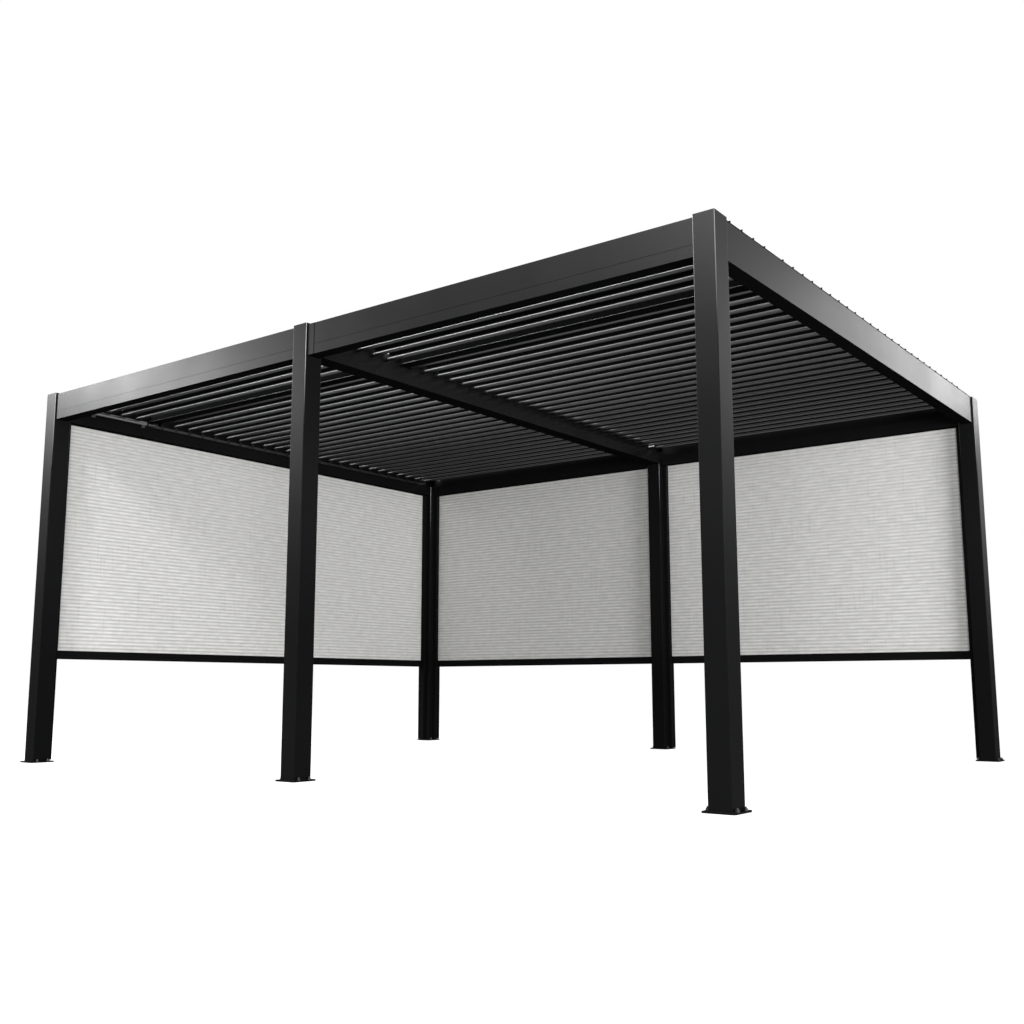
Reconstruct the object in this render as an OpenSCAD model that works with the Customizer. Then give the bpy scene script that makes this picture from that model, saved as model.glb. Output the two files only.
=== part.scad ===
/* [Overall] */
// Width over the outer faces of the posts, along X
total_w = 5110; // [4400:10:5600]
// Depth over the outer faces of the posts, along Y
total_d = 4060; // [4000:10:4200]
// Height of the posts with their caps
total_h = 2500; // [2300:10:2800]

/* [Posts] */
// Width of a post along X
post_w = 106; // [96:1:120]
// Depth of a post along Y
post_d = 120; // [106:1:130]
// Wall of the post tube
post_wall = 3; // [2:0.5:5]
// Outer corner radius of the post tube
post_r = 4; // [3:0.5:8]
// Thickness of the cap on a post
cap_t = 4; // [3:1:8]

/* [Base plates] */
// Reach of a base plate beyond the post on every side
plate_margin = 22; // [18:1:40]
// Thickness of a base plate
plate_t = 8; // [6:1:12]
// Corner radius of a base plate
plate_r = 14; // [6:1:18]
// Diameter of an anchor bolt hole, in the middle of a side margin
anchor_d = 11; // [8:0.5:12]
// Distance between the two anchor holes of one margin
anchor_span = 74; // [50:1:90]

/* [Perimeter beams] */
// Height of a perimeter beam
beam_h = 178; // [150:1:220]
// Step down from the top of a post to the top of a beam
beam_drop = 9; // [4:1:20]
// Step back of a beam's outer face from the post's outer face
beam_recess = 11; // [4:1:16]
// Width of the tall outer box of a beam
beam_box_w = 43; // [36:1:45]
// Width of the gutter beside that box
gutter_w = 41; // [36:1:46]
// Height of the gutter's lip above the beam's underside
gutter_h = 82; // [70:1:86]
// Depth of the open gutter trough
trough_depth = 18; // [10:1:24]
// Wall of the beam profile
beam_wall = 3; // [2:0.5:4]
// Height of the groove line above a beam's bottom
groove_z = 55; // [30:1:70]
// Width of the groove line
groove_w = 3; // [2:0.5:5]
// Depth of the groove line
groove_depth = 1.2; // [0.5:0.1:1.5]
// Distance of the joint cover from the front middle post
cover_gap = 6; // [0:1:20]
// Width of the joint cover
cover_w = 46; // [30:1:80]
// Thickness of the joint cover
cover_t = 2; // [1:0.5:3]

/* [Middle beam] */
// Width of the middle beam's central box
mid_box_w = 44; // [36:1:60]
// Width of the gutter on each side of it
mid_gutter_w = 36; // [30:1:44]
// Step up of the middle beam's underside from the other beams
mid_rise = 11; // [0:1:20]

/* [Louvres] */
// Louvres in front of the drive rail
front_rows = 5; // [4:1:5]
// Louvres behind the drive rail
back_rows = 25; // [23:1:25]
// Distance of the first pivot from the beam box before it
first_gap = 121; // [110:1:130]
// Distance of the last pivot from the beam box behind it
last_gap = 145; // [140:1:160]
// Gap left between the louvres for the drive rail
rail_gap = 90; // [80:1:100]
// Reach of a louvre's tip past the next pivot
louvre_lap = 8; // [6:1:10]
// Diameter of the louvre's round front edge
nose_d = 22; // [20:1:26]
// Rise of the louvre's top skin from its nose to its tip
skin_rise = 11; // [11:0.5:14]
// Length of the flat top at the tip
tip_flat = 22; // [16:1:26]
// Length of the solid tip
tip_l = 20; // [12:1:24]
// Thickness of the solid tip
tip_t = 5; // [4:0.5:5]
// Distance of the lower skin's heel from the tip
heel_l = 36; // [30:1:44]
// Height of the heel above the pivot line
heel_z = 4; // [2:0.5:6]
// Wall of the louvre's skins
skin_t = 1.6; // [1.2:0.1:2.4]
// Wall of the web between the water channel and the hollow
web_t = 3; // [2:0.5:4]
// Width of the water channel's floor behind the nose
channel_w = 14; // [10:1:16]
// Depth of the channel's floor below the pivot line
channel_z = 1; // [0:0.5:2]
// Run of the slope from the channel up to the top skin
channel_run = 13; // [10:1:16]
// Depth of the lower skin below the pivot line, at the nose
chin_z = 9; // [8:0.5:9]
// Opening angle of the louvres as drawn, from flat
open_angle = 70; // [5:1:95]
// Full turn of the louvres from flat
full_turn = 100; // [90:1:105]
// Depth of the pivot line below the top of the beams
pivot_drop = 46; // [40:1:56]
// Gap between a louvre's end and the beam box that carries it
end_gap = 31; // [29:1:36]
// Gap between a louvre's inner end and the middle beam's box
shaft_gap = 28; // [6:1:32]

/* [Pivots and cranks] */
// Diameter of a pivot stud
stud_d = 11.4; // [8:0.1:12]
// Clearance around a stud in its bore
stud_clear = 0.1; // [0.05:0.01:0.1]
// Length of a stud or shaft inside a louvre
stud_in = 24; // [16:1:40]
// Diameter of the shaft that joins a row's two blades
shaft_d = 13; // [12.5:0.5:15]
// Clearance around a shaft in the middle beam
shaft_clear = 0.1; // [0.05:0.01:0.1]
// Distance from a pivot to its crank pin
crank_r = 32; // [32:1:36]
// Angle of the crank when the louvres lie flat
crank_angle = 220; // [218:1:222]
// Width of a crank's arm
crank_w = 12; // [8:1:14]
// Diameter of the eye round a crank pin
crank_eye_d = 16; // [14:1:18]
// Thickness of a crank plate
crank_t = 4; // [3:1:6]
// Diameter of a crank pin
crank_pin_d = 8; // [6:0.5:9]
// Clearance around a crank pin in the drive bar
pin_clear = 0.1; // [0.05:0.01:0.1]
// Length of a crank pin that stands out of the drive bar
pin_over = 3; // [1:0.5:4]

/* [Drive bar] */
// Height of the drive bar
bar_h = 18; // [16:1:18]
// Thickness of the drive bar
bar_t = 6; // [4:1:8]
// Gap between a crank plate and the drive bar
bar_gap = 7; // [5:0.5:8]
// Length of the drive bar beyond its first and last pins
bar_over = 24; // [10:1:30]
// Diameter of the drive pin on the bar
drive_pin_d = 10; // [8:1:12]
// Distance of the drive pin behind the middle of the louvre gap
drive_pin_back = 20; // [10:1:30]

/* [Cross rails] */
// Gap between the front rail and the beam box before it
rail_box_gap = 21; // [15:1:28]
// Reach of a louvre's tip over the drive rail
rail_lap = 18; // [12:1:19]
// Height of a cross rail
rail_h = 17; // [12:1:17]
// Gap between a rail and the nose behind it
rail_nose_gap = 11; // [7:1:14]
// Wall of a cross rail
rail_wall = 2; // [1.5:0.5:3]
// Depth of the rails' undersides below the pivot line
rail_under = 5; // [4:0.5:6]
// Diameter of the bead along a rail's lower front edge
bead_d = 5; // [4:0.5:6]
// Gap between a closed louvre's tip and the raised back of the drive rail
raised_gap = 5; // [5:0.5:8]
// Step back of that raised part from the rail's back edge
raised_inset = 13; // [13:1:18]

/* [Linear drive] */
// Diameter of the drive's motor tube
motor_d = 28; // [24:1:28]
// Length of the motor tube
motor_l = 480; // [420:10:520]
// Gap between the motor tube and the gutter's face
motor_side_gap = 4; // [1:0.5:5]
// Gap between the motor tube and the level of the gutter's lip
motor_rise = 3; // [1:0.5:3]
// Distance of the motor tube's mouth from the drive pin
motor_reach = 70; // [60:1:90]
// Width of a clip that holds the motor tube
clip_w = 30; // [20:1:40]
// Distance of a clip from the motor tube's end
clip_inset = 20; // [10:1:40]
// Depth of a clip on the gutter's face
clip_h = 14; // [8:1:20]
// Diameter of the push rod
rod_d = 12; // [10:1:14]
// Clearance around the rod in the motor tube
rod_clear = 0.1; // [0.05:0.01:0.1]
// Length of rod inside the motor tube as drawn
rod_in = 130; // [100:5:150]
// Length of free bore beyond the rod's inner end
rod_spare = 60; // [50:5:80]
// Clearance on each side of the drive pin in the yoke
yoke_clear = 2; // [1.8:0.1:3]
// Clearance below the drive pin in the yoke
yoke_floor = 2; // [1.5:0.5:3]
// Width of each of the yoke's prongs
yoke_prong = 8; // [6:1:10]
// Height of the yoke below its slot
yoke_base = 6; // [4:1:8]
// Thickness of the yoke
yoke_t = 8; // [6:1:10]
// Lag of the yoke behind the drive pin, which evens out their play
yoke_lag = 1.1; // [0.8:0.1:1.4]

/* [Screens] */
// Depth of the fabric behind the posts' outer faces
fabric_inset = 28; // [26:1:34]
// Thickness of the fabric
fabric_t = 1; // [0.8:0.1:2]
// Height of a bottom bar above the ground
bar_z = 680; // [100:10:2100]
// Height of a bottom bar
hem_h = 58; // [40:1:80]
// Thickness of a bottom bar
hem_t = 26; // [20:1:30]
// Wall of a bottom bar
hem_wall = 3; // [2:0.5:4]
// Gap between a bottom bar and a guide
hem_gap = 4; // [2:1:8]
// Depth of the fabric's edge inside the bottom bar
hem_hold = 4; // [4:1:10]
// Thickness of the tongues that keep a bottom bar in its guides
tongue_t = 5; // [3:0.5:6]
// Reach of a tongue into its guide
tongue_in = 10; // [6:1:13]
// Reach of a guide from the post
guide_w = 34; // [26:1:40]
// Depth of a guide
guide_d = 60; // [50:1:70]
// Wall of a guide
guide_wall = 2.5; // [2:0.5:4]
// Step back of a guide from the post's outer face
guide_recess = 6; // [2:1:8]
// Gap between a guide and the base plate
guide_foot_gap = 4; // [1:1:20]
// Width of the fabric slot in guides and beams
slot_w = 7; // [6:0.5:9]
// Depth of the slot in a guide
slot_depth = 20; // [14:1:22]
// Gap between the fabric's edge and the bottom of its slot
edge_gap = 0.3; // [0.2:0.1:0.8]
// Reach of the fabric into the box of its beam
fabric_up = 12; // [6:1:30]

/* [Hidden] */
$fn = 48;
// Overlap that fuses two shapes, and the overrun of a cut past a face
fuse = 0.01;
over = 1;
frame_color = "dimgray";
louvre_color = "slategray";
drive_color = "silver";
fabric_color = "lightgray";

function louvre_name(i) = str("louvre_", i < 10 ? "0" : "", i);

// Posts and plates
post_x = (total_w - post_w) / 2;
post_y = (total_d - post_d) / 2;
plate_w = post_w + 2 * plate_margin;
plate_d = post_d + 2 * plate_margin;
bay_w = post_x - post_w;
side_l = total_d - 2 * post_d;
left_bay_x = -post_x + post_w / 2;
right_bay_x = post_w / 2;

// Beams
beam_top = total_h - beam_drop;
beam_bottom = beam_top - beam_h;
beam_w = beam_box_w + gutter_w;
lip_z = beam_bottom + gutter_h;
side_face = total_w / 2 - beam_recess;
end_face = total_d / 2 - beam_recess;
side_box = side_face - beam_box_w;
end_box = end_face - beam_box_w;
mid_bottom = beam_bottom + mid_rise;
mid_h = beam_top - mid_bottom;
mid_half = mid_box_w / 2;

// Louvre rows: an even pitch from the front beam to the back one, but for the drive rail
rows = front_rows + back_rows;
pitch = (2 * end_box - first_gap - last_gap - rail_gap) / (rows - 1);
function row_y(i) = -end_box + first_gap + i * pitch + (i < front_rows ? 0 : rail_gap);
row_ys = [for (i = [0 : rows - 1]) row_y(i)];
last_front_y = row_y(front_rows - 1);
first_back_y = row_y(front_rows);
pivot_z = beam_top - pivot_drop;
outer_end = side_box - end_gap;
inner_end = mid_half + shaft_gap;
louvre_l = outer_end - inner_end;

// Louvre section: X from the pivot to the tip, Y up, lying flat
nose_r = nose_d / 2;
bore_r = stud_d / 2 + stud_clear;
reach = pitch + louvre_lap;
top_run = reach - tip_flat;
heel_x = reach - heel_l;
chin_x = nose_r / 2;
channel_end = nose_r + channel_w;
skin_start = channel_end + channel_run;
tip_z = nose_r + skin_rise;
function ease(t) = t <= 0 ? 0 : t >= 1 ? 1 : t * t * (3 - 2 * t);
function top_skin(x) = nose_r + skin_rise * ease(x / top_run);
function low_skin(x) = -chin_z + (heel_z + chin_z) * (x - chin_x) / (heel_x - chin_x);

// Cranks and drive bar, from the pivot, with the louvres as drawn
crank_now = open_angle + crank_angle;
crank_y = crank_r * cos(crank_now);
crank_z = crank_r * sin(crank_now);
crank_face = outer_end + crank_t;
bar_face = crank_face + bar_gap;
bar_mid_z = pivot_z + crank_z;
pin_l = bar_gap + bar_t + pin_over;

// Cross rails
rail_z = pivot_z - rail_under;
raised_h = beam_top - rail_z;
drive_rail_y = last_front_y + reach - rail_lap;
front_rail_y = -end_box + rail_box_gap;

// Linear drive
motor_x = -(side_face - beam_w) + motor_side_gap + motor_d / 2;
motor_z = lip_z + motor_rise + motor_d / 2;
drive_pin_y = (last_front_y + first_back_y) / 2 + drive_pin_back + crank_y;
motor_mouth = drive_pin_y - motor_reach;
yoke_y = drive_pin_y - yoke_lag;
yoke_slot_w = drive_pin_d + 2 * yoke_clear;
yoke_swing = crank_r * (1 + max(sin(crank_angle), sin(crank_angle + full_turn)));
slot_bottom = pivot_z - crank_r - drive_pin_d / 2 - yoke_floor;
yoke_top = slot_bottom + yoke_floor + drive_pin_d + yoke_swing;

// Screens
slot_at = fabric_inset - guide_recess;
guide_z = plate_t + guide_foot_gap;
fabric_top = beam_bottom + fabric_up;
hem_top = bar_z + hem_h;

// A rectangle with round corners, centred
module round_rect(w, d, r) {
    square([w - 2 * r, d], center = true);
    square([w, d - 2 * r], center = true);
    for (sx = [-1, 1], sy = [-1, 1])
        translate([sx * (w / 2 - r), sy * (d / 2 - r)]) circle(r);
}

// Clear plan of the two louvre bays between the beam boxes
module bay_plan() {
    for (x = [-side_box, mid_half])
        translate([x, -end_box]) square([side_box - mid_half, 2 * end_box]);
}

// Extruded post; above the gutter lips its inner corners are cut away for the louvres
module post(x, y) {
    color(frame_color) difference() {
        translate([x, y, plate_t]) linear_extrude(total_h - cap_t - plate_t) difference() {
            round_rect(post_w, post_d, post_r);
            square([post_w - 2 * post_wall, post_d - 2 * post_wall], center = true);
        }
        translate([0, 0, lip_z]) linear_extrude(total_h) bay_plan();
    }
}

module post_caps() {
    color(frame_color) translate([0, 0, total_h - cap_t]) linear_extrude(cap_t) difference() {
        for (x = [-post_x, 0, post_x], y = [-post_y, post_y])
            translate([x, y]) round_rect(post_w, post_d, post_r);
        bay_plan();
    }
}

// Anchored foot plates, one under each post
module base_plates() {
    hole_x = (post_w + plate_margin) / 2;
    color(frame_color) for (x = [-post_x, 0, post_x], y = [-post_y, post_y])
        translate([x, y, 0]) difference() {
            linear_extrude(plate_t) round_rect(plate_w, plate_d, plate_r);
            for (sx = [-1, 1], sy = [-1, 1]) translate([sx * hole_x, sy * anchor_span / 2, -over])
                cylinder(d = anchor_d, h = plate_t + 2 * over);
        }
}

// Section of a perimeter beam: X runs inwards from its outer face, Y up from its underside
module beam_section(slotted, grooved) {
    trough_z = gutter_h - trough_depth;
    difference() {
        union() {
            square([beam_w, gutter_h]);
            square([beam_box_w, beam_h]);
        }
        translate([beam_box_w, trough_z])
            square([gutter_w - beam_wall, trough_depth + over]);
        translate([beam_wall, beam_wall])
            square([beam_w - 2 * beam_wall, trough_z - 2 * beam_wall]);
        translate([beam_wall, trough_z])
            square([beam_box_w - 2 * beam_wall, beam_h - beam_wall - trough_z]);
        if (grooved) translate([-over, groove_z - groove_w / 2])
            square([over + groove_depth, groove_w]);
        if (slotted) translate([fabric_inset - beam_recess - slot_w / 2, -over])
            square([slot_w, beam_wall + 2 * over]);
    }
}

// A beam of length l whose outer face looks along -Y, from x = 0
module beam(l, slotted, grooved) {
    rotate([90, 0, 90]) linear_extrude(l) beam_section(slotted, grooved);
}

module front_beam(x) {
    color(frame_color) translate([x, -end_face, beam_bottom]) beam(bay_w, false, true);
}

module back_beam(x) {
    color(frame_color) translate([x + bay_w, end_face, beam_bottom])
        rotate([0, 0, 180]) beam(bay_w, true, true);
}

// Studs that carry the louvres' outer ends on a side beam; s is the side along X
module pivot_studs(s) {
    stud_l = end_gap + stud_in;
    for (y = row_ys) translate([s * (side_box - stud_l), y, pivot_z]) rotate([0, s * 90, 0])
        cylinder(d = stud_d, h = stud_l + fuse);
}

module left_beam() {
    color(frame_color) {
        translate([-side_face, side_l / 2, beam_bottom])
            rotate([0, 0, -90]) beam(side_l, true, false);
        pivot_studs(-1);
    }
}

module right_beam() {
    color(frame_color) {
        translate([side_face, -side_l / 2, beam_bottom])
            rotate([0, 0, 90]) beam(side_l, false, false);
        pivot_studs(1);
    }
}

// Section of the middle beam: a box with a gutter on each side, Y up from its underside
module middle_section() {
    lip = gutter_h - mid_rise;
    trough_z = lip - trough_depth;
    half_w = mid_half + mid_gutter_w;
    difference() {
        union() {
            translate([-half_w, 0]) square([2 * half_w, lip]);
            translate([-mid_half, 0]) square([mid_box_w, mid_h]);
        }
        for (x = [-half_w + beam_wall, mid_half]) translate([x, trough_z])
            square([mid_gutter_w - beam_wall, trough_depth + over]);
        translate([-half_w + beam_wall, beam_wall])
            square([2 * (half_w - beam_wall), trough_z - 2 * beam_wall]);
        translate([-mid_half + beam_wall, trough_z])
            square([mid_box_w - 2 * beam_wall, mid_h - beam_wall - trough_z]);
    }
}

// Middle beam between the middle posts, bored for the louvre shafts
module middle_beam() {
    bore_l = mid_box_w + 2 * over;
    color(frame_color) difference() {
        translate([0, side_l / 2, mid_bottom]) rotate([90, 0, 0])
            linear_extrude(side_l) middle_section();
        for (y = row_ys) translate([-bore_l / 2, y, pivot_z]) rotate([0, 90, 0])
            cylinder(d = shaft_d + 2 * shaft_clear, h = bore_l);
    }
}

// Cover strip over the wiring joint beside the front middle post
module joint_cover() {
    color(frame_color) translate([post_w / 2 + cover_gap, -end_face - cover_t, beam_bottom])
        cube([cover_w, cover_t, beam_h]);
}

// Section of a cross rail: X runs back from its front face, Y up from its underside
module rail_section(d, raised) {
    raised_x = rail_lap + raised_gap;
    raised_w = d - raised_x - raised_inset;
    difference() {
        union() {
            square([d, rail_h]);
            translate([0, bead_d / 2]) circle(d = bead_d);
            if (raised) translate([raised_x, 0]) square([raised_w, raised_h]);
        }
        translate([rail_wall, rail_wall]) square([d - 2 * rail_wall, rail_h - 2 * rail_wall]);
        if (raised) translate([raised_x + rail_wall, rail_h / 2])
            square([raised_w - 2 * rail_wall, raised_h - rail_wall - rail_h / 2]);
    }
}

// Hollow rails that close the roof where no louvre reaches, from y up to the nose behind
module cross_rails(y, pivot_behind, raised) {
    rail_d = pivot_behind - nose_r - rail_nose_gap - y;
    color(frame_color) for (x = [-side_box, mid_half]) translate([x, y, rail_z])
        rotate([90, 0, 90]) linear_extrude(side_box - mid_half) rail_section(rail_d, raised);
}

// Round nose, then an open water channel, and the top skin from there to the tip
module louvre_outline() {
    steps = 8;
    circle(nose_r);
    polygon(concat(
        [[0, -channel_z], [channel_end, -channel_z]],
        [for (i = [0 : steps]) let (x = skin_start + (top_run - skin_start) * i / steps)
            [x, top_skin(x)]],
        [[reach, tip_z], [reach, tip_z - tip_t], [reach - tip_l, tip_z - tip_t],
         [heel_x, heel_z], [chin_x, -chin_z]]));
}

module louvre_cavity() {
    steps = 7;
    top_start = skin_start + web_t;
    low_start = channel_end + web_t;
    polygon(concat(
        [for (i = [0 : steps]) let (x = top_start + (heel_x - top_start) * i / steps)
            [x, top_skin(x) - skin_t]],
        [[heel_x, heel_z + skin_t], [low_start, low_skin(low_start) + skin_t]]));
}

// A shape in a row's own section, extruded by l from x
module along_row(x, l) {
    translate([x, 0, 0]) rotate([90, 0, 90]) linear_extrude(l) children();
}

// A blade's section, hollow behind the channel
module louvre_section() {
    rotate(open_angle) difference() {
        louvre_outline();
        louvre_cavity();
    }
}

// Crank plate: it closes the end of the left blade and reaches down to the crank pin
module crank_plate() {
    rotate(open_angle) louvre_outline();
    rotate(crank_now) translate([0, -crank_w / 2]) square([crank_r, crank_w]);
    translate([crank_y, crank_z]) circle(d = crank_eye_d);
}

// One row: a blade in each bay, bored from end to end, and the shaft that joins them
module louvre(y) {
    shaft_l = 2 * (inner_end + stud_in);
    bore_l = crank_face - inner_end + 2 * over;
    color(louvre_color) translate([0, y, pivot_z]) {
        difference() {
            union() {
                along_row(-outer_end, louvre_l) louvre_section();
                along_row(inner_end, louvre_l) louvre_section();
                along_row(outer_end, crank_t) rotate(open_angle) louvre_outline();
                along_row(-crank_face, crank_t) crank_plate();
            }
            for (x = [-crank_face - over, inner_end - over])
                along_row(x, bore_l) circle(bore_r);
        }
        translate([-crank_face - pin_l, crank_y, crank_z]) rotate([0, 90, 0])
            cylinder(d = crank_pin_d, h = pin_l + crank_t);
        translate([-shaft_l / 2, 0, 0]) rotate([0, 90, 0]) cylinder(d = shaft_d, h = shaft_l);
    }
}

// Flat bar that turns every crank together, with the pin that drives it
module drive_bar() {
    bar_y = row_ys[0] + crank_y - bar_over;
    bar_l = row_ys[rows - 1] - row_ys[0] + 2 * bar_over;
    color(drive_color) {
        difference() {
            translate([-bar_face - bar_t, bar_y, bar_mid_z - bar_h / 2]) cube([bar_t, bar_l, bar_h]);
            for (y = row_ys) translate([-bar_face - bar_t - over, y + crank_y, bar_mid_z])
                rotate([0, 90, 0])
                    cylinder(d = crank_pin_d + 2 * pin_clear, h = bar_t + 2 * over);
        }
        translate([-bar_face - fuse, drive_pin_y, bar_mid_z]) rotate([0, 90, 0])
            cylinder(d = drive_pin_d, h = bar_face + motor_x + yoke_t / 2 + pin_over);
    }
}

// Fixed motor tube, clipped to the face of the left gutter
module drive_motor() {
    clip_x = -(side_face - beam_w);
    color(drive_color) difference() {
        union() {
            translate([motor_x, motor_mouth, motor_z]) rotate([90, 0, 0])
                cylinder(d = motor_d, h = motor_l);
            for (y = [motor_mouth - clip_inset - clip_w, motor_mouth - motor_l + clip_inset])
                translate([clip_x, y, lip_z - clip_h])
                    cube([motor_x - clip_x, clip_w, motor_z - lip_z + clip_h]);
        }
        translate([motor_x, motor_mouth + over, motor_z]) rotate([90, 0, 0])
            cylinder(d = rod_d + 2 * rod_clear, h = rod_in + rod_spare + over);
    }
}

// Rod that slides in the motor tube and pushes the drive pin with its open yoke
module push_rod() {
    prong_mid = yoke_y - yoke_slot_w / 2 - yoke_prong / 2;
    color(drive_color) {
        translate([motor_x, prong_mid, motor_z]) rotate([90, 0, 0])
            cylinder(d = rod_d, h = prong_mid - motor_mouth + rod_in);
        difference() {
            translate([motor_x - yoke_t / 2, prong_mid - yoke_prong / 2, slot_bottom - yoke_base])
                cube([yoke_t, yoke_slot_w + 2 * yoke_prong, yoke_top - slot_bottom + yoke_base]);
            translate([motor_x - yoke_t / 2 - over, yoke_y - yoke_slot_w / 2, slot_bottom])
                cube([yoke_t + 2 * over, yoke_slot_w, yoke_top - slot_bottom + over]);
        }
    }
}

// Guide channel on a post's face: X away from the post, Y inwards from the guide's outer face
module guide() {
    slot_x = guide_w - slot_depth;
    first_l = slot_at - slot_w / 2 - 2 * guide_wall;
    second_y = slot_at + slot_w / 2 + guide_wall;
    translate([0, 0, guide_z]) linear_extrude(beam_bottom - guide_z) difference() {
        square([guide_w, guide_d]);
        translate([slot_x, slot_at - slot_w / 2]) square([slot_depth + over, slot_w]);
        translate([guide_wall, guide_wall]) square([guide_w - 2 * guide_wall, first_l]);
        translate([guide_wall, second_y])
            square([guide_w - 2 * guide_wall, guide_d - guide_wall - second_y]);
    }
}

// A screen hangs between two posts, drawn with its length l along X and its outer face on -Y
module screen_guides(l) {
    color(frame_color) {
        translate([0, guide_recess, 0]) guide();
        translate([l, guide_recess, 0]) mirror([1, 0, 0]) guide();
    }
}

module screen_fabric(l) {
    side = guide_w - slot_depth + edge_gap;
    color(fabric_color) translate([side, fabric_inset - fabric_t / 2, hem_top - hem_hold])
        cube([l - 2 * side, fabric_t, fabric_top - hem_top + hem_hold]);
}

// Hollow bottom bar, closed by end caps whose tongues run in the guides' slots
module screen_bar(l) {
    side = guide_w + hem_gap;
    bar_l = l - 2 * side;
    tongue_l = tongue_in + hem_gap + hem_wall;
    color(frame_color) translate([0, fabric_inset, bar_z]) {
        difference() {
            translate([side, -hem_t / 2, 0]) cube([bar_l, hem_t, hem_h]);
            translate([side + hem_wall, -hem_t / 2 + hem_wall, hem_wall])
                cube([bar_l - 2 * hem_wall, hem_t - 2 * hem_wall, hem_h - 2 * hem_wall]);
            translate([side - over, -fabric_t / 2, hem_h - hem_hold])
                cube([bar_l + 2 * over, fabric_t, hem_hold + over]);
        }
        for (x = [side + hem_wall - tongue_l, l - side - hem_wall])
            translate([x, -tongue_t / 2, hem_wall])
                cube([tongue_l, tongue_t, hem_h - 2 * hem_wall - hem_hold]);
    }
}

// Places of the three screens
module on_left() {
    translate([-total_w / 2, side_l / 2, 0]) rotate([0, 0, -90]) children();
}

module on_back(x) {
    translate([x + bay_w, total_d / 2, 0]) rotate([0, 0, 180]) children();
}

post(-post_x, -post_y);  // post_front_left
post(0, -post_y);  // post_front_middle
post(post_x, -post_y);  // post_front_right
post(-post_x, post_y);  // post_back_left
post(0, post_y);  // post_back_middle
post(post_x, post_y);  // post_back_right
base_plates();
post_caps();
front_beam(left_bay_x);  // front_beam_left
front_beam(right_bay_x);  // front_beam_right
back_beam(left_bay_x);  // back_beam_left
back_beam(right_bay_x);  // back_beam_right
left_beam();
right_beam();
middle_beam();
joint_cover();
cross_rails(front_rail_y, row_ys[0], false);  // front_rails
cross_rails(drive_rail_y, first_back_y, true);  // drive_rails
on_left() screen_fabric(side_l);  // left_screen_fabric
on_left() screen_bar(side_l);  // left_screen_bar
on_left() screen_guides(side_l);  // left_screen_guides
on_back(left_bay_x) screen_fabric(bay_w);  // back_left_screen_fabric
on_back(left_bay_x) screen_bar(bay_w);  // back_left_screen_bar
on_back(left_bay_x) screen_guides(bay_w);  // back_left_screen_guides
on_back(right_bay_x) screen_fabric(bay_w);  // back_right_screen_fabric
on_back(right_bay_x) screen_bar(bay_w);  // back_right_screen_bar
on_back(right_bay_x) screen_guides(bay_w);  // back_right_screen_guides
drive_motor();
drive_bar();
push_rod();
for (i = [1 : rows]) louvre(row_y(i - 1));
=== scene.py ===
# %% [markdown]
# # Electric pergola with a louvred roof
# The CAD model holds every piece of metal at its real size. This lesson dresses it: a studio and a
# camera, the finishes of the metal, three woven screens, and the small fittings that a maker adds last.
# Everything is in metres, with the ground at Z = 0 and the long front along X.

# %% Load the fixed frame
import math

import bmesh
import bpy
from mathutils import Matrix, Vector


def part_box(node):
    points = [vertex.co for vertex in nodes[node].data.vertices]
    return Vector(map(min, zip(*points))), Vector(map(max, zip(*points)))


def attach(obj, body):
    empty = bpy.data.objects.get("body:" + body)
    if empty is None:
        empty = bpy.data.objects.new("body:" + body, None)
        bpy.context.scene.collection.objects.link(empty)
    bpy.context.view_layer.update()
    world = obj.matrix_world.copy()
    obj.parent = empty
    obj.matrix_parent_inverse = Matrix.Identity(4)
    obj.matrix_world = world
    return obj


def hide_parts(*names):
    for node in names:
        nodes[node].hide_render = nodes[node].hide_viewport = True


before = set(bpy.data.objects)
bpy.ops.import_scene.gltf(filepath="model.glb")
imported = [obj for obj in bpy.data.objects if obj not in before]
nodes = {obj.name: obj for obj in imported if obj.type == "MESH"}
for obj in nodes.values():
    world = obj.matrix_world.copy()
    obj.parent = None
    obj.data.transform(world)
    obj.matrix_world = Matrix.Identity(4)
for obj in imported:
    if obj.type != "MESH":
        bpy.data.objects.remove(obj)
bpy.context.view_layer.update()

# %% [markdown]
# ## Camera
# The photograph was taken from low on the right, a little above the ground, looking up under the roof.
# A wide view with a slight upward tilt gives the strong taper of the posts. The numbers are real places
# in metres and real angles, found by lining up the corners of the frame with the picture.

# %% Place the camera
EYE = Vector((4.584, -6.167, 0.494))
TURN_LEFT = math.radians(37.22)
TILT_UP = math.radians(8.74)
SENSOR = 36.0
FRAME_WIDTH = 1024
FOCAL_PIXELS = 1125.9
CENTRE_PIXEL = (505.1, 513.6)


def make_camera():
    """The photograph's camera: its lens comes from the focal length in pixels."""
    data = bpy.data.cameras.new("camera")
    data.sensor_width = SENSOR
    data.lens = FOCAL_PIXELS * SENSOR / FRAME_WIDTH
    data.shift_x = 0.5 - CENTRE_PIXEL[0] / FRAME_WIDTH
    data.shift_y = CENTRE_PIXEL[1] / FRAME_WIDTH - 0.5
    data.clip_end = 500
    camera = bpy.data.objects.new("camera", data)
    camera.location = EYE
    camera.rotation_euler = (math.pi / 2 + TILT_UP, 0, TURN_LEFT)
    bpy.context.scene.collection.objects.link(camera)
    bpy.context.scene.camera = camera
    return camera


camera = make_camera()
print("lens in millimetres:", round(camera.data.lens, 2))

# %% [markdown]
# ## Shader arithmetic
# A finish is a small sum: so much grain, times a mask, plus a tint. Nodes hide that sum in wires, so
# a socket is wrapped in a class that understands plain operators. Each operator adds one Math node,
# and everything else comes from a single method that takes a node's type, settings and sockets.

# %% Wrap sockets so that sums read as sums


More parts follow.
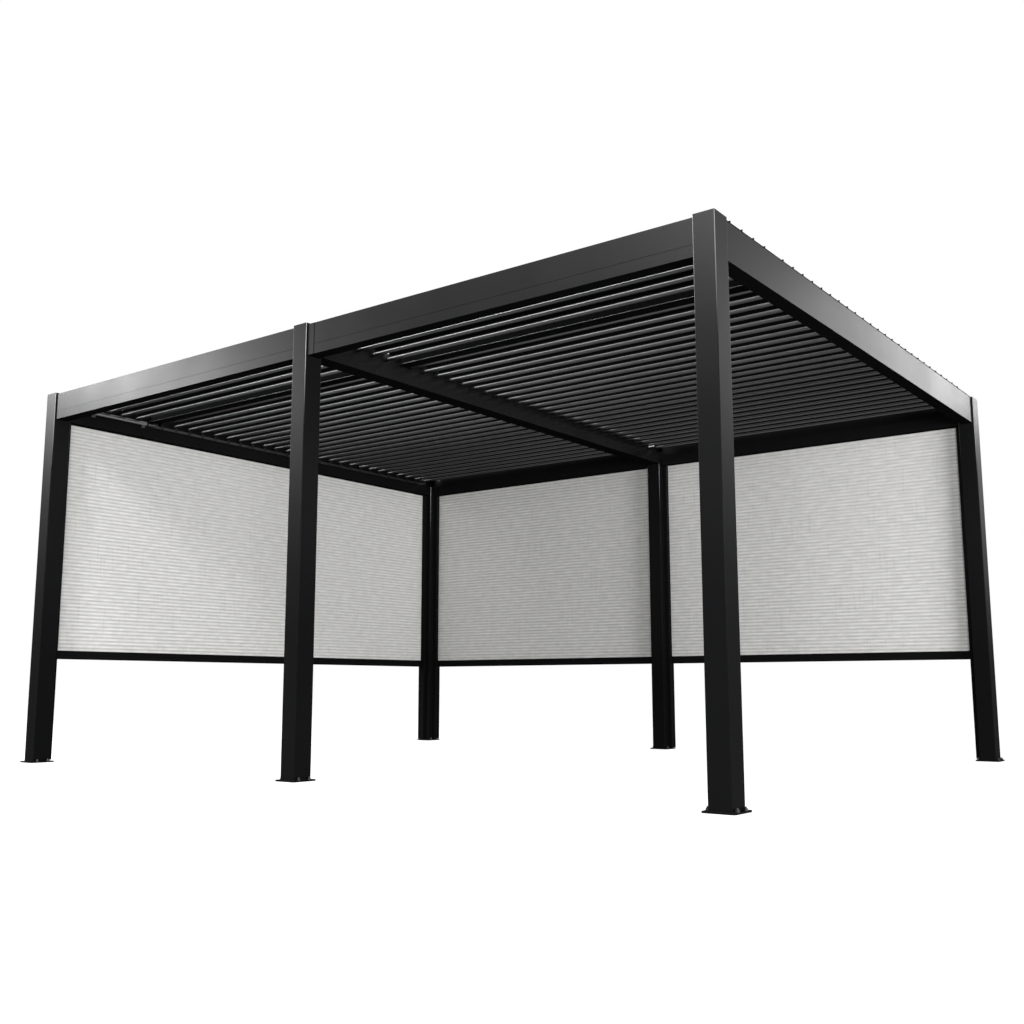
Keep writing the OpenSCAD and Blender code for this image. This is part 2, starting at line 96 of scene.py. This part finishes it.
class Wire:
    """An output socket of a finish, for use in plain arithmetic."""

    def __init__(self, finish, node, output=0):
        self.finish, self.node, self.socket = finish, node, node.outputs[output]

    def out(self, name):
        return Wire(self.finish, self.node, name)

    def maths(self, operation, *values):
        return self.finish.node("ShaderNodeMath", {"operation": operation}, dict(enumerate(values)))

    def __add__(self, other):
        return self.maths("ADD", self, other)

    def __sub__(self, other):
        return self.maths("SUBTRACT", self, other)

    def __rsub__(self, other):
        return self.maths("SUBTRACT", other, self)

    def __mul__(self, other):
        return self.maths("MULTIPLY", self, other)

    def __truediv__(self, other):
        return self.maths("DIVIDE", self, other)

    def __neg__(self):
        return self.maths("MULTIPLY", self, -1.0)

    __radd__ = __add__
    __rmul__ = __mul__

    def ramp(self, low, high, start=0.0, end=1.0):
        """Runs smoothly from start to end as the value goes from low to high."""
        sockets = {0: self, 1: low, 2: high, 3: start, 4: end}
        return self.finish.node("ShaderNodeMapRange", {"interpolation_type": "SMOOTHSTEP"}, sockets)


class Finish:
    """A material, or the sky, under construction."""

    def __init__(self, name, data=None):
        self.data = data or bpy.data.materials.new(name)
        self.data.use_nodes = True
        self.tree = self.data.node_tree
        self.tree.nodes.clear()

    def node(self, kind, settings=None, sockets=None):
        made = self.tree.nodes.new(kind)
        for name, value in (settings or {}).items():
            setattr(made, name, value)
        for key, value in (sockets or {}).items():
            if isinstance(value, Wire):
                self.tree.links.new(value.socket, made.inputs[key])
            else:
                made.inputs[key].default_value = value
        return Wire(self, made)

    def noise(self, place, scale, detail=2.0, roughness=0.5):
        return self.node("ShaderNodeTexNoise", {}, {
            "Vector": place, "Scale": scale, "Detail": detail, "Roughness": roughness})

    def blend_colours(self, mask, first, second):
        sockets = {"Factor": mask, 6: first, 7: second}
        mixed = self.node("ShaderNodeMix", {"data_type": "RGBA"}, sockets)
        return Wire(self, mixed.node, 2)

    def bump(self, height, depth, strength=1.0):
        """Depth is in metres."""
        return self.node("ShaderNodeBump", {}, {
            "Height": height, "Distance": depth, "Strength": strength})

    def close(self, shader, kind="ShaderNodeOutputMaterial"):
        end = self.tree.nodes.new(kind)
        self.tree.links.new(shader.socket, end.inputs["Surface"])
        return self.data


print("operators ready:", [name for name in dir(Wire) if name.startswith("__r")])

# %% [markdown]
# ## Studio
# The photograph shows the pergola on pure white. The floor and the sky are white to the camera and to
# gloss, while the light that falls on the object comes from lamps at a plain level. The floor keeps a
# thin layer of ordinary diffuse, so the feet still stand on a soft shadow.

# %% Floor and sky
FLOOR_SIZE = 400.0
SKY_FILL = 0.3
FLOOR_TONE = 0.16
WHITE = (1.0, 1.0, 1.0, 1.0)


def seen_directly(finish):
    """One for rays that show the background, zero for rays that light the object."""
    path = finish.node("ShaderNodeLightPath")
    shown = path.out("Is Camera Ray") + path.out("Is Glossy Ray") + path.out("Is Transmission Ray")
    return shown.maths("MINIMUM", shown, 1.0)


def floor_finish():
    finish = Finish("studio_floor")
    lit = finish.node("ShaderNodeBsdfDiffuse", {}, {"Color": (FLOOR_TONE, FLOOR_TONE, FLOOR_TONE, 1.0)})
    own_light = (1.0 - FLOOR_TONE * SKY_FILL) * seen_directly(finish)
    glow = finish.node("ShaderNodeEmission", {}, {"Color": WHITE, "Strength": own_light})
    return finish.close(finish.node("ShaderNodeAddShader", {}, {0: lit, 1: glow}))


def make_floor():
    half = FLOOR_SIZE / 2
    mesh = bpy.data.meshes.new("studio_floor")
    corners = [(-half, -half, 0), (half, -half, 0), (half, half, 0), (-half, half, 0)]
    mesh.from_pydata(corners, [], [(0, 1, 2, 3)])
    mesh.materials.append(floor_finish())
    floor = bpy.data.objects.new("studio_floor", mesh)
    bpy.context.scene.collection.objects.link(floor)


def make_sky():
    sky = Finish("studio_sky", bpy.data.worlds.new("studio_sky"))
    strength = SKY_FILL + (1.0 - SKY_FILL) * seen_directly(sky)
    light = sky.node("ShaderNodeBackground", {}, {"Color": WHITE, "Strength": strength})
    bpy.context.scene.world = sky.close(light, "ShaderNodeOutputWorld")


make_floor()
make_sky()
bpy.context.scene.view_settings.view_transform = "Standard"
print("sky fill:", SKY_FILL)

# %% [markdown]
# ## Lamps
# Black metal shows its shape only by what it mirrors, so three softboxes each stand where one face
# mirrors them to the camera: on the left for the far end of the front beam, in front for the tops of
# the posts, and behind on the right for the far end of the side beam. A long one hangs high on the left
# for the round noses of the louvres. The pale screens want plain light instead, from two low boxes that
# no black face mirrors: they shine in under the beams, from behind the camera and from the open side.

# %% Hang the softboxes


def softbox(name, place, target, size, radiance, spread=180.0):
    """An area lamp of a given radiance, so that its size alone sets how much light it gives."""
    data = bpy.data.lights.new(name, "AREA")
    data.shape = "RECTANGLE"
    data.size, data.size_y = size
    data.energy = radiance * math.pi * size[0] * size[1]
    data.spread = math.radians(spread)
    lamp = bpy.data.objects.new(name, data)
    lamp.location = place
    lamp.rotation_euler = (Vector(target) - Vector(place)).to_track_quat("-Z", "Y").to_euler()
    bpy.context.scene.collection.objects.link(lamp)
    return lamp


softbox("left_box", (-7.6, -5.9, 4.5), (-1.7, -2.0, 2.4), (1.1, 1.1), 105.0)
softbox("post_box", (-0.1, -8.5, 6.2), (2.5, -2.0, 2.4), (1.5, 1.5), 66.0)
softbox("back_box", (4.6, 9.5, 5.3), (2.5, 1.0, 2.4), (1.1, 2.4), 15.0)
softbox("nose_strip", (-5.2, -5.0, 9.0), (-5.2, -3.4, 2.4), (10.0, 2.5), 32.0)
softbox("key_box", (6.9, -9.2, 1.5), (-0.6, 2.0, 1.4), (4.0, 2.6), 18.5)
softbox("side_box", (7.2, -0.6, 1.5), (-2.5, 0.0, 1.4), (3.4, 1.6), 25.0)

# %% [markdown]
# ## Powder coat
# The frame is aluminium with a black powder coat: satin, with a fine orange peel that breaks up what it
# mirrors. It could be one dark colour, but the eye reads that as plastic, so the grain drives the bump,
# and broad soft patches vary the roughness. A mask paints shade: on undersides, low on the posts and
# feet (fading out by the beams), on the rails above their bead, on the blades above their noses and on
# their inner ends far back, it swaps in a copy of the coat without reflection. Near the top, the rounded
# corners of the posts get a painted highlight instead: a fine line of light metal colour.

# %% Coat the frame and the louvres
GRAIN_SCALE = 900.0
PATCH_SCALE = 1.7
COAT_TONE = (0.0050, 0.0051, 0.0054)
FRAME_GLOSS = 0.08
RAIL_GLOSS = 0.5
ROOF_GLOSS = 0.8
LOUVRE_GLOSS = 0.7
PIVOT_Z = 2.445
NOSE_R = 0.011
BEAD_TOP = 2.445
EDGE_HIGHLIGHT_TONE = (0.30, 0.30, 0.31, 1.0)


def frame_painted_shade(place, normal):
    # Painted shade: the coat loses its reflection on undersides and low down, most at the feet, less and
    # less up to the beams.
    foot = place.out("Z").ramp(0.5, 2.4, 0.93, 0.0)
    underside = (-normal.out("Z")).ramp(0.35, 0.85)
    return foot.maths("MAXIMUM", foot, underside)


def rail_painted_shade(place, normal):
    # Painted shade: the rail loses its reflection above the bead and on its undersides.
    flat = place.out("Z").ramp(BEAD_TOP - 0.0005, BEAD_TOP + 0.0005)
    underside = (-normal.out("Z")).ramp(0.6, 0.9)
    return flat.maths("MAXIMUM", flat, underside)


def painted_edge_highlight(place, normal):
    """Painted highlight: the rounded upright corners of the posts, near the top, take a light metal colour.
    """
    sideways = normal.out("X") * normal.out("Y")
    corner = sideways.maths("ABSOLUTE", sideways).ramp(0.15, 0.45)
    return corner * place.out("Z").ramp(1.9, 2.5)


def louvre_painted_shade(place, normal):
    # Painted shade: the blades lose their reflection above the noses, on faces turned down and at their
    # inner ends in the back rows.
    blade = place.out("Z").ramp(PIVOT_Z + 0.9 * NOSE_R, PIVOT_Z + NOSE_R)
    underside = (-normal.out("Z")).ramp(0.6, 1.0, 0.0, 0.8)
    inner_end = place.out("X").maths("ABSOLUTE", place.out("X")).ramp(0.07, 0.13, 0.95, 0.0)
    shaded = blade.maths("MAXIMUM", blade, underside)
    return shaded.maths("MAXIMUM", shaded, inner_end * place.out("Y").ramp(-0.9, 0.5))


def powder_coat(name, gloss, roughness, stretch, painted_shade_mask, painted_highlight_mask=None):
    """Stretch squeezes the soft patches along the length of an extruded piece."""
    finish = Finish(name)
    coordinates = finish.node("ShaderNodeTexCoord")
    place = coordinates.out("Object")
    grain = finish.noise(place, GRAIN_SCALE, detail=3.0)
    mapped = finish.node("ShaderNodeMapping", {}, {"Vector": place, "Scale": stretch})
    patches = finish.noise(mapped, PATCH_SCALE, detail=4.0, roughness=0.6)
    dark, light = ((*[k * t for t in COAT_TONE], 1.0) for k in (0.75, 1.25))
    tone = finish.blend_colours(patches, dark, light)
    orange_peel = finish.bump(grain, 0.00008, 0.6)
    height = finish.node("ShaderNodeSeparateXYZ", {}, {0: place})
    facing = finish.node("ShaderNodeSeparateXYZ", {}, {0: coordinates.out("Normal")})
    satin = finish.node("ShaderNodeBsdfPrincipled", {}, {
        "Base Color": tone, "Roughness": patches.ramp(0.3, 0.7, roughness - 0.02, roughness + 0.02),
        "Specular IOR Level": gloss, "Normal": orange_peel})
    # Painted shade: a rough copy of the coat without reflection, mixed in wherever the shade mask is one.
    painted_shade_coat = finish.node("ShaderNodeBsdfPrincipled", {}, {
        "Base Color": tone, "Roughness": 0.9, "Specular IOR Level": 0.0, "Normal": orange_peel})
    coat = finish.node("ShaderNodeMixShader", {}, {0: painted_shade_mask(height, facing), 1: satin, 2: painted_shade_coat})
    if painted_highlight_mask:
        # Painted highlight: a light metal colour mixed in on the rounded corners near the top.
        painted_highlight = finish.node("ShaderNodeBsdfPrincipled", {}, {
            "Base Color": EDGE_HIGHLIGHT_TONE, "Metallic": 1.0, "Roughness": 0.35})
        coat = finish.node("ShaderNodeMixShader", {}, {0: painted_highlight_mask(height, facing), 1: coat, 2: painted_highlight})
    return finish.close(coat)


def dress(material, names):
    for name in names:
        nodes[name].data.materials.clear()
        nodes[name].data.materials.append(material)


frame_coat = powder_coat("frame_coat", FRAME_GLOSS, 0.33, (1.0, 1.0, 1.0), frame_painted_shade, painted_edge_highlight)
roof_coat = powder_coat("roof_coat", ROOF_GLOSS, 0.24, (1.0, 1.0, 1.0), frame_painted_shade)
rail_coat = powder_coat("rail_coat", RAIL_GLOSS, 0.24, (0.15, 1.0, 1.0), rail_painted_shade)
louvre_coat = powder_coat("louvre_coat", LOUVRE_GLOSS, 0.36, (0.15, 1.0, 1.0), louvre_painted_shade)
louvre_names = sorted(name for name in nodes if name.startswith("louvre_"))
drive_names = ["drive_bar", "drive_motor", "push_rod"]
fabric_names = sorted(name for name in nodes if name.endswith("_fabric"))
rail_names = ["front_rails", "drive_rails"]
roof_names = ["middle_beam"]
inner_names = louvre_names + drive_names + fabric_names + rail_names + roof_names
frame_names = sorted(set(nodes) - set(inner_names))
dress(frame_coat, frame_names)
dress(louvre_coat, louvre_names)
dress(roof_coat, roof_names)
dress(rail_coat, rail_names)
print("coated pieces:", len(frame_names) + len(louvre_names))

# %% [markdown]
# ## Bare drive
# The push rod, the flat drive bar and the motor tube are mill-finish aluminium. Drawing leaves fine
# lines along the length of each, so a noise squeezed hard along Y gives both the streaks and the bump.

# %% Leave the drive bare


def drawn_aluminium():
    finish = Finish("drawn_aluminium")
    place = finish.node("ShaderNodeTexCoord").out("Object")
    mapped = finish.node("ShaderNodeMapping", {}, {"Vector": place, "Scale": (600.0, 6.0, 600.0)})
    lines = finish.noise(mapped, 1.0, detail=2.0)
    shade = finish.blend_colours(lines, (0.10, 0.10, 0.105, 1.0), (0.17, 0.17, 0.175, 1.0))
    return finish.close(finish.node("ShaderNodeBsdfPrincipled", {}, {
        "Base Color": shade, "Metallic": 1.0, "Roughness": lines.ramp(0.2, 0.8, 0.28, 0.42),
        "Normal": finish.bump(lines, 0.00003)}))


dress(drawn_aluminium(), drive_names)
print("bare pieces:", drive_names)

# %% [markdown]
# ## Woven screens
# Each screen is one stretched sheet of coated yarn in a soft white grey. Heavy weft yarns make a rib
# every 25 mm, and those ribs are what the photograph shows, so they are real folds in the mesh. The
# finer weave between them is too small for geometry and lives in the finish, on the sheet's own UV map.
# The finish also paints a highlight and a shade along each rib.

# %% Weave the screens
RIB = 0.0255
RIB_DEPTH = 0.0006
STEPS_PER_RIB = 6
COLUMN = 0.06


def screen_weave():
    finish = Finish("screen_weave")
    cloth = finish.node("ShaderNodeUVMap", {"uv_map": "cloth"})
    across = finish.node("ShaderNodeSeparateXYZ", {}, {0: cloth})
    slubs = finish.noise(finish.node("ShaderNodeMapping", {}, {
        "Vector": cloth, "Scale": (22.0, 320.0, 1.0)}), 1.0, detail=3.0, roughness=0.65)
    waves = finish.node("ShaderNodeMath", {"operation": "SINE"}, {0: across.out("Y") * (math.tau / RIB)})
    dashes = finish.noise(finish.node("ShaderNodeMapping", {}, {
        "Vector": cloth, "Scale": (11.0, 39.2, 1.0)}), 1.0, detail=2.0)
    upright = finish.noise(finish.node("ShaderNodeMapping", {}, {
        "Vector": cloth, "Scale": (46.0, 3.2, 1.0)}), 1.0, detail=2.0)
    # Painted light along the ribs: the colour lightens in one band of each rib (painted highlight) and
    # darkens in the band between (painted shade), both broken up by dashes; faint dark upright threads are
    # added to the darkening.
    furrow = waves.ramp(-1.0, -0.2, 1.0, 0.0)
    painted_rib_highlight = waves.ramp(0.1, 0.9) * dashes.ramp(0.4, 0.65)
    warp = finish.node("ShaderNodeMath", {"operation": "SINE"}, {0: across.out("X") * (math.tau / 0.004)})
    painted_rib_shade_and_threads = furrow * dashes.ramp(0.35, 0.65, 0.5, 0.2) + upright.ramp(0.56, 0.72) * 0.12
    yarn = finish.blend_colours(slubs, (0.54, 0.535, 0.52, 1.0), (0.70, 0.695, 0.68, 1.0))
    pale = finish.blend_colours(painted_rib_highlight * 0.6, yarn, (0.80, 0.795, 0.78, 1.0))
    tone = finish.blend_colours(painted_rib_shade_and_threads, pale, (0.30, 0.30, 0.29, 1.0))
    weave_height = slubs * 0.6 + warp * 0.2
    return finish.close(finish.node("ShaderNodeBsdfPrincipled", {}, {
        "Base Color": tone, "Roughness": 0.85, "Specular IOR Level": 0.2,
        "Normal": finish.bump(weave_height, 0.0004, 0.7)}))


def rib_height(z):
    return RIB_DEPTH * math.cos(math.tau * z / RIB)


def weave_sheet(name, start, end, low, high, inwards):
    """A ribbed sheet from start to end, two points on the ground plan, from height low to high."""
    length = (end - start).length
    columns = round(length / COLUMN)
    rows = round((high - low) / RIB * STEPS_PER_RIB)
    mesh = bpy.data.meshes.new(name)
    points = []
    for row in range(rows + 1):
        z = low + (high - low) * row / rows
        for column in range(columns + 1):
            flat = start.lerp(end, column / columns)
            points.append(flat + inwards * rib_height(z) + Vector((0, 0, z)))
    width = columns + 1
    faces = [(r * width + c, r * width + c + 1, (r + 1) * width + c + 1, (r + 1) * width + c)
             for r in range(rows) for c in range(columns)]
    mesh.from_pydata(points, [], faces)
    uv = mesh.uv_layers.new(name="cloth")
    for loop in mesh.loops:
        row, column = divmod(loop.vertex_index, width)
        uv.data[loop.index].uv = (length * column / columns, low + (high - low) * row / rows)
    mesh.polygons.foreach_set("use_smooth", [True] * len(mesh.polygons))
    sheet = bpy.data.objects.new(name, mesh)
    bpy.context.scene.collection.objects.link(sheet)
    return sheet, (length, high - low)


def hang_screen(prefix, cloth):
    """Stands for the CAD sheet: in the same slots, between the same heights."""
    node = prefix + "_fabric"
    low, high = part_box(node)
    along_x = high.x - low.x > high.y - low.y
    middle = (low + high) / 2
    start = Vector((low.x, middle.y, 0)) if along_x else Vector((middle.x, low.y, 0))
    end = Vector((high.x, middle.y, 0)) if along_x else Vector((middle.x, high.y, 0))
    inwards = Vector((0, -1, 0)) if along_x else Vector((1, 0, 0))
    sheet, flat = weave_sheet(prefix + "_cloth", start, end, low.z, high.z, inwards)
    sheet.data.materials.append(cloth)
    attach(sheet, "frame")
    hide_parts(node)
    print(sheet.name, "flat size", [round(v, 3) for v in flat])


cloth = screen_weave()
for prefix in ("left_screen", "back_left_screen", "back_right_screen"):
    hang_screen(prefix, cloth)

# %% [markdown]
# ## Anchors
# Every foot plate is held by four anchors: a washer, a hexagon nut and the end of the stud. They are all
# alike, so one Geometry Nodes tree builds a single anchor from named sizes and sets a copy on every
# point of a small cloud. The points come from the corners of the feet.

# %% Build the anchor tree
PLATE_MARGIN = 0.022
ANCHOR_SPAN = 0.074


class Tree:
    """A Geometry Nodes tree under construction, with named inputs."""

    def __init__(self, name):
        self.tree = bpy.data.node_groups.new(name, "GeometryNodeTree")
        self.tree.interface.new_socket("Geometry", in_out="INPUT", socket_type="NodeSocketGeometry")
        self.tree.interface.new_socket("Geometry", in_out="OUTPUT", socket_type="NodeSocketGeometry")
        self.group_in = self.tree.nodes.new("NodeGroupInput")
        self.keys = {}

    def size(self, name, value):
        """A named length that the modifier can set."""
        made = self.tree.interface.new_socket(name, in_out="INPUT", socket_type="NodeSocketFloat")
        made.default_value = value
        self.keys[name] = made.identifier
        return self.group_in.outputs[made.identifier]

    def node(self, kind, settings=None, sockets=None):
        made = self.tree.nodes.new(kind)
        for name, value in (settings or {}).items():
            setattr(made, name, value)
        for key, value in (sockets or {}).items():
            for part in value if isinstance(value, list) else [value]:
                if isinstance(part, bpy.types.NodeSocket):
                    self.tree.links.new(part, made.inputs[key])
                else:
                    made.inputs[key].default_value = part
        return made.outputs[0]

    def lift(self, shape, height):
        """Moves a shape up by the height given."""
        offset = self.node("ShaderNodeCombineXYZ", {}, {"Z": height})
        return self.node("GeometryNodeTransform", {}, {"Geometry": shape, "Translation": offset})

    def close(self, shape, material, part=None, other=None):
        """Makes the copies real, because an export drops them, and paints them: a part in the other."""
        made = self.node("GeometryNodeRealizeInstances", {}, {0: shape})
        made = self.node("GeometryNodeSetMaterial", {}, {"Geometry": made, "Material": material})
        if part:
            made = self.node("GeometryNodeSetMaterial", {}, {
                "Geometry": made, "Selection": part, "Material": other})
        self.tree.links.new(made, self.tree.nodes.new("NodeGroupOutput").inputs[0])
        return self.tree


def anchor_tree(material):
    made = Tree("anchor_set")
    washer_r = made.size("Washer radius", 0.011)
    nut_r = made.size("Nut radius", 0.0098)
    stud_r = made.size("Stud radius", 0.005)
    washer = made.node("GeometryNodeMeshCylinder", {}, {
        "Vertices": 24, "Radius": washer_r, "Depth": 0.002})
    nut = made.node("GeometryNodeMeshCylinder", {}, {"Vertices": 6, "Radius": nut_r, "Depth": 0.008})
    stud = made.node("GeometryNodeMeshCylinder", {}, {"Vertices": 16, "Radius": stud_r, "Depth": 0.018})
    parts = [made.lift(washer, 0.001), made.lift(nut, 0.006), made.lift(stud, 0.007)]
    anchor = made.node("GeometryNodeJoinGeometry", {}, {0: parts})
    copies = made.node("GeometryNodeInstanceOnPoints", {}, {
        "Points": made.group_in.outputs["Geometry"], "Instance": anchor})
    return made.close(copies, material), made.keys


def run_tree(name, points, grown, sizes=None):
    """Runs a tree on a cloud of points and keeps the result as a plain mesh."""
    tree, keys = grown
    cloud = bpy.data.meshes.new(name + "_points")
    cloud.from_pydata(points, [], [])
    holder = bpy.data.objects.new(name + "_points", cloud)
    bpy.context.scene.collection.objects.link(holder)
    modifier = holder.modifiers.new("tree", "NODES")
    modifier.node_group = tree
    for label, value in (sizes or {}).items():
        modifier[keys[label]] = value
    evaluated = holder.evaluated_get(bpy.context.evaluated_depsgraph_get())
    mesh = bpy.data.meshes.new_from_object(evaluated)
    bpy.data.objects.remove(holder)
    mesh.name = name
    piece = bpy.data.objects.new(name, mesh)
    bpy.context.scene.collection.objects.link(piece)
    return piece


def zinc_steel():
    finish = Finish("zinc_steel")
    place = finish.node("ShaderNodeTexCoord").out("Object")
    mottle = finish.noise(place, 260.0, detail=4.0, roughness=0.7)
    shade = finish.blend_colours(mottle, (0.02, 0.02, 0.021, 1.0), (0.06, 0.06, 0.062, 1.0))
    return finish.close(finish.node("ShaderNodeBsdfPrincipled", {}, {
        "Base Color": shade, "Metallic": 1.0, "Roughness": mottle.ramp(0.2, 0.8, 0.3, 0.5)}))


def foot_corners():
    """Where the anchors stand, from the box of each post."""
    found = []
    for name in sorted(n for n in nodes if n.startswith("post_") and n != "post_caps"):
        low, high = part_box(name)
        middle = (low + high) / 2
        reach = (high.x - low.x + PLATE_MARGIN) / 2
        found += [(middle.x + sx * reach, middle.y + sy * ANCHOR_SPAN / 2, low.z)
                  for sx in (-1, 1) for sy in (-1, 1)]
    return found


zinc = zinc_steel()
anchors = run_tree("anchors", foot_corners(), anchor_tree(zinc))
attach(anchors, "frame")
print("anchors:", len(foot_corners()), "faces:", len(anchors.data.polygons))

# %% [markdown]
# ## Louvre fittings
# Two button-head screws hold the plate on each outer end of a blade, and a rubber sleeve fills the gap
# round the shaft between a blade and the middle beam. They turn with their row, so each row gets a mesh
# of its own. One tree serves all thirty: it reads how far out a point lies and sets the right piece there.

# %% Fit screws and sleeves to the louvres
OPEN_ANGLE = math.radians(70.0)
ALONG_BLADE = (0.042, 0.085)
MID_SKIN = (0.0053, 0.0115)
OUTER_END = 2.474
BEAM_HALF = 0.022
SHAFT_GAP = 0.028
SLEEVE_PLAY = 0.001


def seal_rubber():
    finish = Finish("seal_rubber")
    grain = finish.noise(finish.node("ShaderNodeTexCoord").out("Object"), 700.0, detail=2.0)
    tone = finish.blend_colours(grain, (0.003, 0.003, 0.003, 1.0), (0.006, 0.006, 0.006, 1.0))
    return finish.close(finish.node("ShaderNodeBsdfPrincipled", {}, {
        "Base Color": tone, "Roughness": 0.75, "Specular IOR Level": 0.05,
        "Normal": finish.bump(grain, 0.00006)}))


def fitting_tree(metal, rubber):
    made = Tree("louvre_fittings")
    head_r = made.size("Screw head radius", 0.004)
    sleeve_r = made.size("Sleeve radius", 0.0125)
    sleeve_l = made.size("Sleeve length", 0.02)
    ball = made.node("GeometryNodeMeshUVSphere", {}, {"Segments": 12, "Rings": 8, "Radius": head_r})
    head = made.node("GeometryNodeTransform", {}, {"Geometry": ball, "Scale": (0.4, 1.0, 1.0)})
    tube = made.node("GeometryNodeMeshCylinder", {}, {
        "Vertices": 32, "Radius": sleeve_r, "Depth": sleeve_l})
    sleeve = made.node("GeometryNodeTransform", {}, {"Geometry": tube, "Rotation": (0.0, math.pi / 2, 0.0)})
    across = made.node("ShaderNodeSeparateXYZ", {}, {0: made.node("GeometryNodeInputPosition")})
    how_far = made.node("ShaderNodeMath", {"operation": "ABSOLUTE"}, {0: across})
    outer = made.node("ShaderNodeMath", {"operation": "GREATER_THAN"}, {0: how_far, 1: 1.0})
    inner = made.node("ShaderNodeMath", {"operation": "LESS_THAN"}, {0: how_far, 1: 1.0})
    cloud = made.group_in.outputs["Geometry"]
    heads = made.node("GeometryNodeInstanceOnPoints", {}, {
        "Points": cloud, "Selection": outer, "Instance": head})
    sleeves = made.node("GeometryNodeInstanceOnPoints", {}, {
        "Points": cloud, "Selection": inner, "Instance": sleeve})
    both = made.node("GeometryNodeJoinGeometry", {}, {0: [heads, sleeves]})
    return made.close(both, rubber, outer, metal), made.keys


def fitting_points(y):
    """Screws stand in the middle of the blade's thickness, sleeves on the pivot line."""
    sleeve_x = BEAM_HALF + SHAFT_GAP / 2
    found = [(side * sleeve_x, y, PIVOT_Z) for side in (-1, 1)]
    for along, up in zip(ALONG_BLADE, MID_SKIN):
        back = along * math.cos(OPEN_ANGLE) - up * math.sin(OPEN_ANGLE)
        rise = along * math.sin(OPEN_ANGLE) + up * math.cos(OPEN_ANGLE)
        found += [(side * OUTER_END, y + back, PIVOT_Z + rise) for side in (-1, 1)]
    return found


rubber = seal_rubber()
fittings = fitting_tree(zinc, rubber)
sleeve_size = {"Sleeve length": SHAFT_GAP - 2 * SLEEVE_PLAY}
for name in louvre_names:
    pivot_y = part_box(name)[0].y + NOSE_R
    piece = run_tree(name + "_fittings", fitting_points(pivot_y), fittings, sleeve_size)
    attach(piece, name)
print("rows fitted:", len(louvre_names), "faces each:", len(piece.data.polygons))

# %% [markdown]
# ## Lips and caps
# A thin rubber lip closes the top edge of each side beam, which gives that edge its fine dark line. The
# motor tube ends in two black caps, the front one with a hole for the rod. A lip is a box with its edges
# rounded, and a cap is a profile turned round the tube's axis.

# %% Lay the lips along the side beams
LIP_W = 0.006
LIP_H = 0.007


def rounded_box(shape, low, high, edge):
    """Adds a box to an open mesh and rounds all its edges."""
    made = bmesh.ops.create_cube(shape, size=1.0)["verts"]
    middle, span = (low + high) / 2, high - low
    for corner in made:
        corner.co = middle + Vector([c * s for c, s in zip(corner.co, span)])
    edges = list({e for corner in made for e in corner.link_edges})
    bmesh.ops.bevel(shape, geom=edges, offset=edge, segments=2, affect="EDGES", profile=0.5)


def close_mesh(shape, name, material, body):
    mesh = bpy.data.meshes.new(name)
    bmesh.ops.recalc_face_normals(shape, faces=shape.faces[:])
    shape.to_mesh(mesh)
    shape.free()
    mesh.materials.append(material)
    piece = bpy.data.objects.new(name, mesh)
    bpy.context.scene.collection.objects.link(piece)
    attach(piece, body)
    return piece


lips = bmesh.new()
for side in ("left_beam", "right_beam"):
    low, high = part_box(side)
    outer_x = low.x if side == "left_beam" else high.x - LIP_W
    rounded_box(lips, Vector((outer_x, low.y, high.z)),
                Vector((outer_x + LIP_W, high.y, high.z + LIP_H)), 0.001)
beam_lips = close_mesh(lips, "beam_lips", rubber, "frame")
print("lip faces:", len(beam_lips.data.polygons))

# %% Cap the motor tube
TUBE_R = 0.014
CAP_WALL = 0.0012
CAP_LENGTH = 0.012
ROD_HOLE = 0.0068
TURNS = 32


def turned(shape, centre, profile):
    """Turns a closed profile of (y, radius) round an axis along Y."""
    rings = []
    for step in range(TURNS):
        angle = math.tau * step / TURNS
        rings.append([shape.verts.new((centre.x + r * math.cos(angle), y, centre.z + r * math.sin(angle)))
                      for y, r in profile])
    for step, ring in enumerate(rings):
        ahead = rings[(step + 1) % TURNS]
        for k in range(len(profile)):
            shape.faces.new((ring[k - 1], ring[k], ahead[k], ahead[k - 1]))


def cap_profile(end, outwards, hole):
    """From the tube's wall over the rim, round the end and back along the tube's mouth."""
    inside, rim = TUBE_R + 0.0001, TUBE_R + CAP_WALL
    back, face = end - outwards * CAP_LENGTH, end + outwards * CAP_WALL
    return [(back, inside), (back, rim), (face - outwards * 0.0006, rim), (face, rim - 0.0006),
            (face, hole), (end, hole), (end, inside)]


low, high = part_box("drive_motor")
tube_axis = Vector((high.x - TUBE_R, 0.0, high.z - TUBE_R))
caps = bmesh.new()
turned(caps, tube_axis, cap_profile(low.y, -1.0, 0.0004))
turned(caps, tube_axis, cap_profile(high.y, 1.0, ROD_HOLE))
motor_caps = close_mesh(caps, "motor_caps", rubber, "frame")
print("cap faces:", len(motor_caps.data.polygons))

# %% [markdown]
